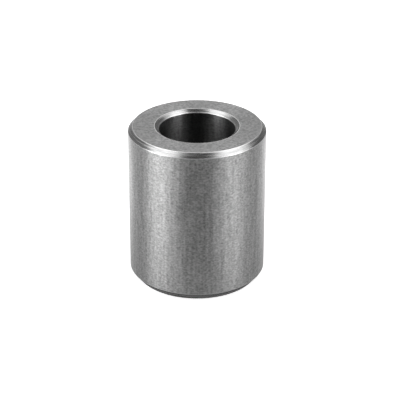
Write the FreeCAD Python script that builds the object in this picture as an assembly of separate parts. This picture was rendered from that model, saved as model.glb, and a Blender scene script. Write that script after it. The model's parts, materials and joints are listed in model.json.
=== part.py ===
import FreeCAD, Part
import math
import os

# Headless press-fit drill bushing, turned and ground from one piece of tool steel.
# Sizes are in millimetres. Z is the axis of the bore, +Z is the end where the drill goes in,
# and the origin is the centre of the bottom face, the end that is pressed into the plate first.

# Overall sizes
outside_diameter = 15.92
length = 18.8
bore_diameter = 8.8

# Top end: a cut of about 45 degrees on the outside corner, and a flatter one on the mouth of the bore
top_chamfer_width = 0.5
top_chamfer_height = 0.54
mouth_width = 0.5
mouth_height = 0.35

# Bottom end: the lead-in that starts the bushing in its hole, and the exit of the bore
lead_in_width = 0.8
lead_in_height = 0.98
exit_chamfer = 0.2

# Radius that the finishing stone leaves on every turned corner
edge_break = 0.12

NODE = "drill_bushing"


def wall_corners():
    """The sharp corners of the wall's section on the +X side, going up the outside and down the bore."""
    outer = outside_diameter / 2
    bore = bore_diameter / 2
    corners = [
        (bore + exit_chamfer, 0),
        (outer - lead_in_width, 0),
        (outer, lead_in_height),
        (outer, length - top_chamfer_height),
        (outer - top_chamfer_width, length),
        (bore + mouth_width, length),
        (bore, length - mouth_height),
        (bore, exit_chamfer),
    ]
    return [FreeCAD.Vector(radius, 0, height) for radius, height in corners]


def corner_arc(before, corner, after, radius):
    """The arc that is tangent to both sides of a corner."""
    back = (before - corner).normalize()
    onward = (after - corner).normalize()
    inward = (back + onward).normalize()
    half_angle = back.getAngle(onward) / 2
    reach = radius / math.tan(half_angle)
    depth = radius / math.sin(half_angle) - radius
    return Part.Arc(corner + back * reach, corner + inward * depth, corner + onward * reach)


def broken_outline(corners, radius):
    """A closed wire through the corners, with every corner broken by the same radius."""
    count = len(corners)
    arcs = [
        corner_arc(corners[i - 1], corners[i], corners[(i + 1) % count], radius)
        for i in range(count)
    ]
    edges = []
    for arc, next_arc in zip(arcs, arcs[1:] + arcs[:1]):
        edges.append(arc.toShape())
        edges.append(Part.LineSegment(arc.EndPoint, next_arc.StartPoint).toShape())
    return Part.Wire(edges)


def turned_bushing():
    """The wall's section turned once round the axis of the bore."""
    section = Part.Face(broken_outline(wall_corners(), edge_break))
    return section.revolve(FreeCAD.Vector(0, 0, 0), FreeCAD.Vector(0, 0, 1), 360)


def export(shape, node):
    os.makedirs("parts", exist_ok=True)
    shape.exportStep(f"parts/{node}.step")


bushing = turned_bushing()
export(bushing, NODE)
print(NODE, "valid" if bushing.isValid() else "not valid", f"{bushing.Volume:.1f} mm3", bushing.BoundBox)
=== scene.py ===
import json
import math

import bpy
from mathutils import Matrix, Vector

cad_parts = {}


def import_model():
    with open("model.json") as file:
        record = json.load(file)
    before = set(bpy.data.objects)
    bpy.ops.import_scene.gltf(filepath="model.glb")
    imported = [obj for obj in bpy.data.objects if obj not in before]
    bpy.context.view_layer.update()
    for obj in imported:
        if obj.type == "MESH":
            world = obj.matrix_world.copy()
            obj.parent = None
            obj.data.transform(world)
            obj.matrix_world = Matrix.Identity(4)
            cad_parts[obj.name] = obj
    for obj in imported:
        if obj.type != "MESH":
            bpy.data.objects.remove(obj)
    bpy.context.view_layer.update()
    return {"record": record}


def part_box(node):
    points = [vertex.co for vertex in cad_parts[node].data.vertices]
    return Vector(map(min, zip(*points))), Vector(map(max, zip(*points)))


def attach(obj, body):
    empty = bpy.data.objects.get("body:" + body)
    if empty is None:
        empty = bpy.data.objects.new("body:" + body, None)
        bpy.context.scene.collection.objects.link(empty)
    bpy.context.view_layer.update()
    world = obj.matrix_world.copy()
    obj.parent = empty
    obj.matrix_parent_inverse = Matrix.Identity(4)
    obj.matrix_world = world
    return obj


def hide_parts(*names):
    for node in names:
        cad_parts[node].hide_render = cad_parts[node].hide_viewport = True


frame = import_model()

# The looks of a headless press-fit drill bushing: one ground steel sleeve, standing upright.
# Lengths are in metres, or in millimetres where a name ends in mm. The studio's angles are in degrees.

MM = 0.001
NODE = "drill_bushing"

# The sleeve, from the frame where it says the size
mounts = {mount["name"]: mount for mount in frame["record"]["mounts"]}
LOW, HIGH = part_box(NODE)
OUTER_R = (HIGH.x - LOW.x) / 2
BORE_R = mounts["guide_bore"]["dims"]["r_mm"] * MM
LENGTH = HIGH.z - LOW.z
TOP_CHAMFER_WIDTH = 0.5 * MM
TOP_CHAMFER_HEIGHT = 0.54 * MM
MOUTH_WIDTH = 0.5 * MM
MOUTH_HEIGHT = 0.35 * MM
LEAD_IN_WIDTH = 0.8 * MM
LEAD_IN_HEIGHT = 0.98 * MM
EXIT_CHAMFER = 0.2 * MM
EDGE_BREAK = 0.12 * MM

# How finely the lathe mesh is divided
TURN_STEPS = 384
ARC_STEPS = 5
RING_GAP = 1.2 * MM

# The camera stands where the photograph was taken from. Pixels are those of its 400 pixel frame, and the
# offset is how far to the right of the frame's middle, and above it, the middle of the part lies.
FRAME_PX = 400
FOCAL_PX = 1528
CAMERA_ELEVATION = math.radians(26.66)
CAMERA_ROLL = math.radians(-0.07)
CAMERA_DISTANCE = 179.4 * MM
PART_OFFSET_PX = Vector((-2.93, 1.45))
SENSOR_MM = 36


def place_in_scene(name, data):
    """A new object that holds the given mesh, lamp or camera."""
    thing = bpy.data.objects.new(name, data)
    bpy.context.scene.collection.objects.link(thing)
    return thing


# The lathe mesh

def corner_arc(before, corner, after):
    """Points and outward normals of the small arc that breaks a corner of the section."""
    back = (before - corner).normalized()
    onward = (after - corner).normalized()
    half_angle = back.angle(onward) / 2
    reach = EDGE_BREAK / math.tan(half_angle)
    centre = corner + (back + onward).normalized() * (EDGE_BREAK / math.sin(half_angle))
    first = (corner + back * reach - centre).normalized()
    last = (corner + onward * reach - centre).normalized()
    sweep = first.angle(last)
    rings = []
    for step in range(ARC_STEPS + 1):
        share = step / ARC_STEPS
        normal = (first * math.sin((1 - share) * sweep) + last * math.sin(share * sweep)) / math.sin(sweep)
        rings.append((centre + normal * EDGE_BREAK, normal))
    return rings


def section():
    """The wall's section as (zone, corner) pairs: the zone is the surface that leaves the corner."""
    return [
        ("exit_end", (BORE_R + EXIT_CHAMFER, 0)),
        ("lead_in", (OUTER_R - LEAD_IN_WIDTH, 0)),
        ("outside", (OUTER_R, LEAD_IN_HEIGHT)),
        ("top_chamfer", (OUTER_R, LENGTH - TOP_CHAMFER_HEIGHT)),
        ("top_end", (OUTER_R - TOP_CHAMFER_WIDTH, LENGTH)),
        ("mouth", (BORE_R + MOUTH_WIDTH, LENGTH)),
        ("bore", (BORE_R, LENGTH - MOUTH_HEIGHT)),
        ("exit_chamfer", (BORE_R, EXIT_CHAMFER)),
    ]


def section_rings():
    """Every ring of the mesh as (point, normal, zone of the faces that follow it)."""
    zones = [zone for zone, _ in section()]
    corners = [Vector(corner) for _, corner in section()]
    arcs = [
        corner_arc(corners[i - 1], corner, corners[(i + 1) % len(corners)])
        for i, corner in enumerate(corners)
    ]
    rings = []
    for zone, arc, next_arc in zip(zones, arcs, arcs[1:] + arcs[:1]):
        rings += [(point, normal, "edge") for point, normal in arc[:-1]]
        start, normal = arc[-1]
        run = next_arc[0][0] - start
        pieces = max(1, round(run.length / RING_GAP))
        rings += [(start + run * (i / pieces), normal, zone) for i in range(pieces)]
    return rings


def lathe(name, materials):
    """Turns the section's rings into a mesh whose shading normals are those of the true surface."""
    rings = section_rings()
    turn = [2 * math.pi * step / TURN_STEPS for step in range(TURN_STEPS)]
    points, normals = [], []
    for point, normal, _ in rings:
        for angle in turn:
            points.append((point.x * math.cos(angle), point.x * math.sin(angle), point.y))
            normals.append((normal.x * math.cos(angle), normal.x * math.sin(angle), normal.y))
    faces, face_zones = [], []
    for ring, (_, _, zone) in enumerate(rings):
        above = (ring + 1) % len(rings) * TURN_STEPS
        here = ring * TURN_STEPS
        for step in range(TURN_STEPS):
            after = (step + 1) % TURN_STEPS
            faces.append((here + step, here + after, above + after, above + step))
            face_zones.append(zone)
    mesh = bpy.data.meshes.new(name)
    mesh.from_pydata(points, [], faces)
    slots = list(dict.fromkeys(materials.values()))
    for material in slots:
        mesh.materials.append(material)
    for polygon, zone in zip(mesh.polygons, face_zones):
        polygon.material_index = slots.index(materials[zone])
        polygon.use_smooth = True
    mesh.normals_split_custom_set_from_vertices(normals)
    mesh.update()
    return place_in_scene(name, mesh)


# Materials

WHITE = (1, 1, 1, 1)
NOISE_MIDDLE = 0.5
NOISE_DETAIL = 3.0
QUARTER_TURN = 0.25


def add(tree, kind, values=(), **settings):
    """A node with its settings and input values; a value that is an output socket is linked."""
    node = tree.nodes.new(kind)
    for key, value in settings.items():
        setattr(node, key, value)
    for key, value in dict(values).items():
        if isinstance(value, bpy.types.NodeSocket):
            tree.links.new(value, node.inputs[key])
        else:
            node.inputs[key].default_value = value
    return node


def calculate(tree, operation, *values):
    """The result of a maths node; each value is a number or an output socket."""
    return add(tree, "ShaderNodeMath", dict(enumerate(values)), operation=operation).outputs[0]


def empty_material(name):
    """A new material and its node tree, which has no nodes yet."""
    material = bpy.data.materials.new(name)
    material.use_nodes = True
    material.node_tree.nodes.clear()
    return material, material.node_tree


def show_on_surface(tree, shader):
    add(tree, "ShaderNodeOutputMaterial", {"Surface": shader.outputs[0]})


def stretched_noise(tree, size_mm):
    """Noise on the solid, whose spots are about size_mm wide, deep and high."""
    place = add(tree, "ShaderNodeTexCoord").outputs["Object"]
    scale = [1 / (MM * size) for size in size_mm]
    scaled = add(tree, "ShaderNodeVectorMath", {0: place, 1: scale}, operation="MULTIPLY").outputs[0]
    values = {"Vector": scaled, "Scale": 1.0, "Detail": NOISE_DETAIL}
    return add(tree, "ShaderNodeTexNoise", values).outputs["Fac"]


def weighted(tree, base, parts):
    """base, plus each noise's difference from its middle times its weight."""
    total = base
    for noise, weight in parts:
        difference = calculate(tree, "SUBTRACT", noise, NOISE_MIDDLE)
        total = calculate(tree, "MULTIPLY_ADD", difference, weight, total)
    return total


def grey(tree, value):
    return add(tree, "ShaderNodeCombineColor", {"Red": value, "Green": value, "Blue": value}).outputs[0]


def bump(tree, height, depth_mm, under=None):
    """A bump of the given depth, on top of another bump if there is one."""
    values = {"Height": height, "Strength": 1.0, "Distance": depth_mm * MM}
    if under:
        values["Normal"] = under
    return add(tree, "ShaderNodeBump", values).outputs[0]


def steel(name, tone, roughness, anisotropy, marks):
    """Bare steel, cut in one way.

    Each kind of mark is (size_mm, tone change, roughness change, depth_mm), with its size across X, Y and Z:
    a small Z size gives lines round the axis, and a large one gives streaks along it.
    """
    material, tree = empty_material(name)
    tones, roughs, normal = [], [], None
    for size_mm, tone_change, rough_change, depth_mm in marks:
        noise = stretched_noise(tree, size_mm)
        tones.append((noise, tone_change))
        roughs.append((noise, rough_change))
        normal = bump(tree, noise, depth_mm, normal)
    tangent = add(tree, "ShaderNodeTangent", direction_type="RADIAL", axis="Z").outputs[0]
    shader = add(
        tree, "ShaderNodeBsdfPrincipled",
        {
            "Base Color": grey(tree, weighted(tree, tone, tones)),
            "Metallic": 1.0,
            "Roughness": weighted(tree, roughness, roughs),
            "Anisotropic": anisotropy,
            "Anisotropic Rotation": QUARTER_TURN,
            "Tangent": tangent,
            "Normal": normal,
        },
    )
    show_on_surface(tree, shader)
    return material


def steel_materials():
    """One finish for each way that the surface was cut. The bore's dark tone paints in the shade deep inside
    it, and the broken edges' pale tone paints in part of their glint.
    """
    # Sizes of the marks in millimetres, across X, Y and Z
    grinding_lines = (2.5, 2.5, 0.09)
    grain = (0.26, 0.26, 0.18)
    chatter = (0.34, 0.34, 5.0)
    clouds = (0.9, 0.9, 1.3)
    tool_lines = (3.0, 3.0, 0.14)
    fine_tool_lines = (1.2, 1.2, 0.1)
    stone_lines = (0.5, 0.5, 0.1)
    ground = steel(
        "ground_outside", tone=0.47, roughness=0.33, anisotropy=0.7,
        marks=[
            (grinding_lines, 0.1, 0.05, 0.0005),
            (grain, 0.76, 0.02, 0.0012),
            (chatter, 0.36, 0.02, 0.0075),
            (clouds, 0.12, 0.03, 0.003),
        ],
    )
    end_face = steel(
        "ground_end", tone=0.265, roughness=0.42, anisotropy=0.7,
        marks=[(grain, 0.5, 0.1, 0.001), (clouds, 0.1, 0.05, 0.001)],
    )
    turned = steel(
        "turned_chamfer", tone=0.43, roughness=0.225, anisotropy=0.5,
        marks=[(tool_lines, 0.6, 0.5, 0.009), (fine_tool_lines, 0.2, 0.1, 0.001)],
    )
    # Painted shade: the bore's tone is far darker than the outside's, which paints in the shade deep inside
    # the bore; its marks are the honing's own.
    honed = steel(
        "honed_bore_painted_shade", tone=0.135, roughness=0.41, anisotropy=1.0,
        marks=[(grinding_lines, 0.1, 0.1, 0.0005), (grain, 0.15, 0.1, 0.0005), (chatter, 0.1, 0.1, 0.0005)],
    )
    # Painted glint: the broken edges' tone is paler than bare steel, which paints in part of the thin bright
    # glint along the corners; the rest comes from real reflection off the small arcs.
    broken = steel(
        "broken_edge_with_painted_glint", tone=0.75, roughness=0.32, anisotropy=0.0,
        marks=[(stone_lines, 0.2, 0.1, 0.0003)],
    )
    return {
        "outside": ground,
        "exit_end": end_face,
        "top_end": end_face,
        "top_chamfer": turned,
        "lead_in": turned,
        "mouth": turned,
        "exit_chamfer": turned,
        "bore": honed,
        "edge": broken,
    }


# The studio

FLOOR_SIZE = 6.0
FLOOR_COLOUR = (0.9, 0.9, 0.9, 1)
FLOOR_LIFT = 0.68
AMBIENT_STRENGTH = 0.64
BACKDROP_STRENGTH = 1.0

SOFTBOX_DISTANCE = 0.5
SOFTBOX_ELEVATION = 53.5
SOFTBOX_WIDTH = 0.46
SOFTBOX_HEIGHT = 0.36
SOFTBOX_RADIANCE = 1.34

# A card that shows in front of another one hangs nearer to the part
FAR_CARD_DISTANCE = 0.4
MIDDLE_CARD_DISTANCE = 0.38
NEAR_CARD_DISTANCE = 0.36
ALL_ROUND = (-180, 180)
NEAR_ZENITH = 89.9
CARD_DEPTH_UNDER_PART = 0.5 * MM
CARD_STEPS = 24
ROUND_STEPS = 120


def direction(azimuth, elevation):
    """The unit vector towards a place in the studio: azimuth 0 is +X, 90 is +Y, in degrees."""
    turn, rise = math.radians(azimuth), math.radians(elevation)
    return Vector((math.cos(turn) * math.cos(rise), math.sin(turn) * math.cos(rise), math.sin(rise)))


def glow(name):
    """The material of a card: it shows the radiance and opacity stored at its mesh's points."""
    material, tree = empty_material(name)
    radiance = add(tree, "ShaderNodeAttribute", attribute_name="radiance").outputs["Fac"]
    opacity = add(tree, "ShaderNodeAttribute", attribute_name="opacity").outputs["Fac"]
    emission = add(tree, "ShaderNodeEmission", {"Color": WHITE, "Strength": radiance})
    clear = add(tree, "ShaderNodeBsdfTransparent")
    mixed = add(tree, "ShaderNodeMixShader", {0: opacity, 1: clear.outputs[0], 2: emission.outputs[0]})
    show_on_surface(tree, mixed)
    return material


def only_in_reflections(card):
    """Leaves a card visible in the steel alone: the camera doesn't see it, and it shades nothing."""
    card.visible_camera = False
    card.visible_diffuse = False
    card.visible_transmission = False
    card.visible_volume_scatter = False
    card.visible_shadow = False


def stage_mesh(name, points, faces, material):
    mesh = bpy.data.meshes.new(name)
    mesh.from_pydata(points, [], faces)
    mesh.materials.append(material)
    return place_in_scene(name, mesh)


def soft_step(low, high, place):
    """0 up to low and 1 from high on, with a soft start and end between them."""
    share = min(1, max(0, (place - low) / (high - low)))
    return share * share * (3 - 2 * share)


def card(name, rows, columns, point_at, radiance_at, opacity_at):
    """A mesh of rows by columns places, which shows only in the steel. The functions take (row, column)."""
    places = [(row, column) for row in rows for column in columns]
    wide = len(columns)
    faces = [
        (first, first + 1, first + wide + 1, first + wide)
        for first in range(len(places) - wide)
        if (first + 1) % wide
    ]
    thing = stage_mesh(name, [point_at(*place) for place in places], faces, glow(name))
    for attribute, value_at in (("radiance", radiance_at), ("opacity", opacity_at)):
        layer = thing.data.attributes.new(attribute, "FLOAT", "POINT")
        layer.data.foreach_set("value", [value_at(*place) for place in places])
    only_in_reflections(thing)


def steps_between(low, high, count):
    return [low + (high - low) * step / count for step in range(count + 1)]


def hanging_card(name, azimuths, elevations, radiance, windows=(), fade=0, distance=FAR_CARD_DISTANCE):
    """A curved card round the part, which fades out over some degrees along its sides and its upper edge.

    Each window is (start, full, full_end, end, radiance): from azimuth start to full the card's radiance
    goes over softly into the window's, and from full_end to end it goes back.
    """
    def radiance_at(elevation, azimuth):
        value = radiance
        for start, full, full_end, end, window_radiance in windows:
            share = soft_step(start, full, azimuth) * (1 - soft_step(full_end, end, azimuth))
            value += (window_radiance - value) * share
        return value

    def opacity_at(elevation, azimuth):
        if not fade:
            return 1.0
        edges = (azimuth - azimuths[0], azimuths[1] - azimuth, elevations[1] - elevation)
        return math.prod(soft_step(0, fade, edge) for edge in edges)

    card(
        name, steps_between(*elevations, CARD_STEPS), steps_between(*azimuths, ROUND_STEPS),
        lambda elevation, azimuth: direction(azimuth, elevation) * distance, radiance_at, opacity_at,
    )


def lying_card(name, radii, radiances, opacities):
    """A round card just under the part. Its radiance and opacity change evenly from one edge to the other.

    Each pair is (at the inner edge, at the outer edge).
    """
    inner, outer = radii

    def between_edges(values, radius):
        return values[0] + (values[1] - values[0]) * (radius - inner) / (outer - inner)

    card(
        name, steps_between(inner, outer, CARD_STEPS), steps_between(0, 360, ROUND_STEPS),
        lambda radius, azimuth: direction(azimuth, 0) * radius + Vector((0, 0, -CARD_DEPTH_UNDER_PART)),
        lambda radius, azimuth: between_edges(radiances, radius),
        lambda radius, azimuth: between_edges(opacities, radius),
    )


def softbox(name, azimuth):
    """A rectangular softbox that faces the part."""
    lamp = bpy.data.lights.new(name, "AREA")
    lamp.shape = "RECTANGLE"
    lamp.size = SOFTBOX_WIDTH
    lamp.size_y = SOFTBOX_HEIGHT
    lamp.energy = SOFTBOX_RADIANCE * math.pi * SOFTBOX_WIDTH * SOFTBOX_HEIGHT
    thing = place_in_scene(name, lamp)
    thing.location = direction(azimuth, SOFTBOX_ELEVATION) * SOFTBOX_DISTANCE
    thing.rotation_mode = "QUATERNION"
    thing.rotation_quaternion = thing.location.to_track_quat("Z", "Y")


def floor():
    """A pale floor that takes the part's shadow, with some light of its own for the camera only."""
    half = FLOOR_SIZE / 2
    points = [(-half, -half, 0), (half, -half, 0), (half, half, 0), (-half, half, 0)]
    material, tree = empty_material("pale_floor")
    path = add(tree, "ShaderNodeLightPath")
    lift = calculate(tree, "MULTIPLY", path.outputs["Is Camera Ray"], FLOOR_LIFT)
    shader = add(
        tree, "ShaderNodeBsdfPrincipled",
        {
            "Base Color": FLOOR_COLOUR,
            "Roughness": 1.0,
            "Specular IOR Level": 0.0,
            "Emission Color": WHITE,
            "Emission Strength": lift,
        },
    )
    show_on_surface(tree, shader)
    thing = stage_mesh("floor", points, [(0, 1, 2, 3)], material)
    thing.visible_glossy = False


def world():
    """Even light all round, and a white backdrop for what the camera and the steel see."""
    backdrop = bpy.data.worlds.new("white_backdrop")
    backdrop.use_nodes = True
    backdrop.cycles.sampling_method = "NONE"
    bpy.context.scene.world = backdrop
    tree = backdrop.node_tree
    tree.nodes.clear()
    path = add(tree, "ShaderNodeLightPath")
    seen = calculate(tree, "MAXIMUM", path.outputs["Is Camera Ray"], path.outputs["Is Glossy Ray"])
    shown = calculate(tree, "MAXIMUM", seen, path.outputs["Is Transmission Ray"])
    levels = {"Value": shown, "To Min": AMBIENT_STRENGTH, "To Max": BACKDROP_STRENGTH}
    strength = add(tree, "ShaderNodeMapRange", levels).outputs["Result"]
    background = add(tree, "ShaderNodeBackground", {"Color": WHITE, "Strength": strength})
    add(tree, "ShaderNodeOutputWorld", {"Surface": background.outputs[0]})


def cards_round_part():
    """Bright strips at the sides, and dark cards in front, overhead and at the back wall's corners."""
    left_side = (-190, -166, -144, -118, 1.02)
    front = (-126, -106, -70, -50, 0.13)
    right_side = (-56, -34, -18, 6, 0.72)
    back = (26, 70, 116, 154, 1.42)
    hanging_card("surround", ALL_ROUND, (-80, 0), 0.5, [left_side, front, right_side, back])
    hanging_card("left_strip", (-178, -134), (0, 28), 6.2, fade=12, distance=NEAR_CARD_DISTANCE)
    hanging_card("right_strip", (-52, -9), (0, 28), 4.4, fade=12, distance=NEAR_CARD_DISTANCE)
    hanging_card("front_horizon", (-130, -50), (-10, 8), 1.15, fade=6, distance=NEAR_CARD_DISTANCE)
    hanging_card("front_card", (-146, -36), (0, 46), 0.03)
    hanging_card("left_gap", (166, 198), (0, 26), 0.25, distance=MIDDLE_CARD_DISTANCE)
    hanging_card("right_gap", (-22, 16), (0, 26), 0.25, distance=MIDDLE_CARD_DISTANCE)
    hanging_card("front_ceiling", (-150, -26), (46, NEAR_ZENITH), 0.05, fade=34)
    hanging_card("overhead", ALL_ROUND, (76, NEAR_ZENITH), 0.04)
    left_corner = (92, 106, 166, 182, 0.29)
    right_corner = (8, 20, 74, 88, 0.245)
    hanging_card("back_wall", (0, 188), (0, 42), 1.4, [left_corner, right_corner])
    hanging_card("left_low_corner", (100, 172), (-16, 0.5), 0.46, distance=NEAR_CARD_DISTANCE)
    hanging_card("right_low_corner", (8, 80), (-16, 0.5), 0.42, distance=NEAR_CARD_DISTANCE)


def cards_under_part():
    """What the steel shows of the floor, with the part's shadow painted on cards: painted black shadow below
    the bore, painted dark shadow below the wall, and painted shade outside it that fades into the white
    backdrop.
    """
    shadow_r = OUTER_R * 1.04
    floor_r = OUTER_R * 4
    # These cards paint the floor's shadow as the steel reflects it, since the steel doesn't see the floor
    # itself.
    lying_card("painted_shadow_under_bore", (0, BORE_R), (0, 0), (1, 1))
    lying_card("painted_shadow_under_wall", (BORE_R, shadow_r), (0.06, 0.21), (1, 1))
    lying_card("painted_floor_shade_round_part", (shadow_r, floor_r), (0.36, 0.3), (0.85, 0))


def studio():
    """Everything round the part: floor, backdrop, lamps and cards."""
    floor()
    world()
    softbox("left_softbox", -169)
    softbox("right_softbox", -14)
    cards_round_part()
    cards_under_part()


def camera():
    """The photograph's viewpoint, lens and framing."""
    data = bpy.data.cameras.new("camera")
    data.sensor_width = SENSOR_MM
    data.lens = FOCAL_PX / FRAME_PX * SENSOR_MM
    data.shift_x = -PART_OFFSET_PX.x / FRAME_PX
    data.shift_y = -PART_OFFSET_PX.y / FRAME_PX
    data.clip_start = CAMERA_DISTANCE / 100
    data.clip_end = FLOOR_SIZE
    thing = place_in_scene("camera", data)
    back = Vector((0, -math.cos(CAMERA_ELEVATION), math.sin(CAMERA_ELEVATION)))
    thing.location = Vector((0, 0, LENGTH / 2)) + back * CAMERA_DISTANCE
    thing.rotation_euler = (math.pi / 2 - CAMERA_ELEVATION, 0, 0)
    thing.rotation_euler.rotate_axis("Z", -CAMERA_ROLL)
    bpy.context.scene.camera = thing


# The piece and its studio

bushing = lathe("drill_bushing_steel", steel_materials())
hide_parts(NODE)
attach(bushing, "root")

studio()
camera()
bpy.context.scene.view_settings.view_transform = "Standard"
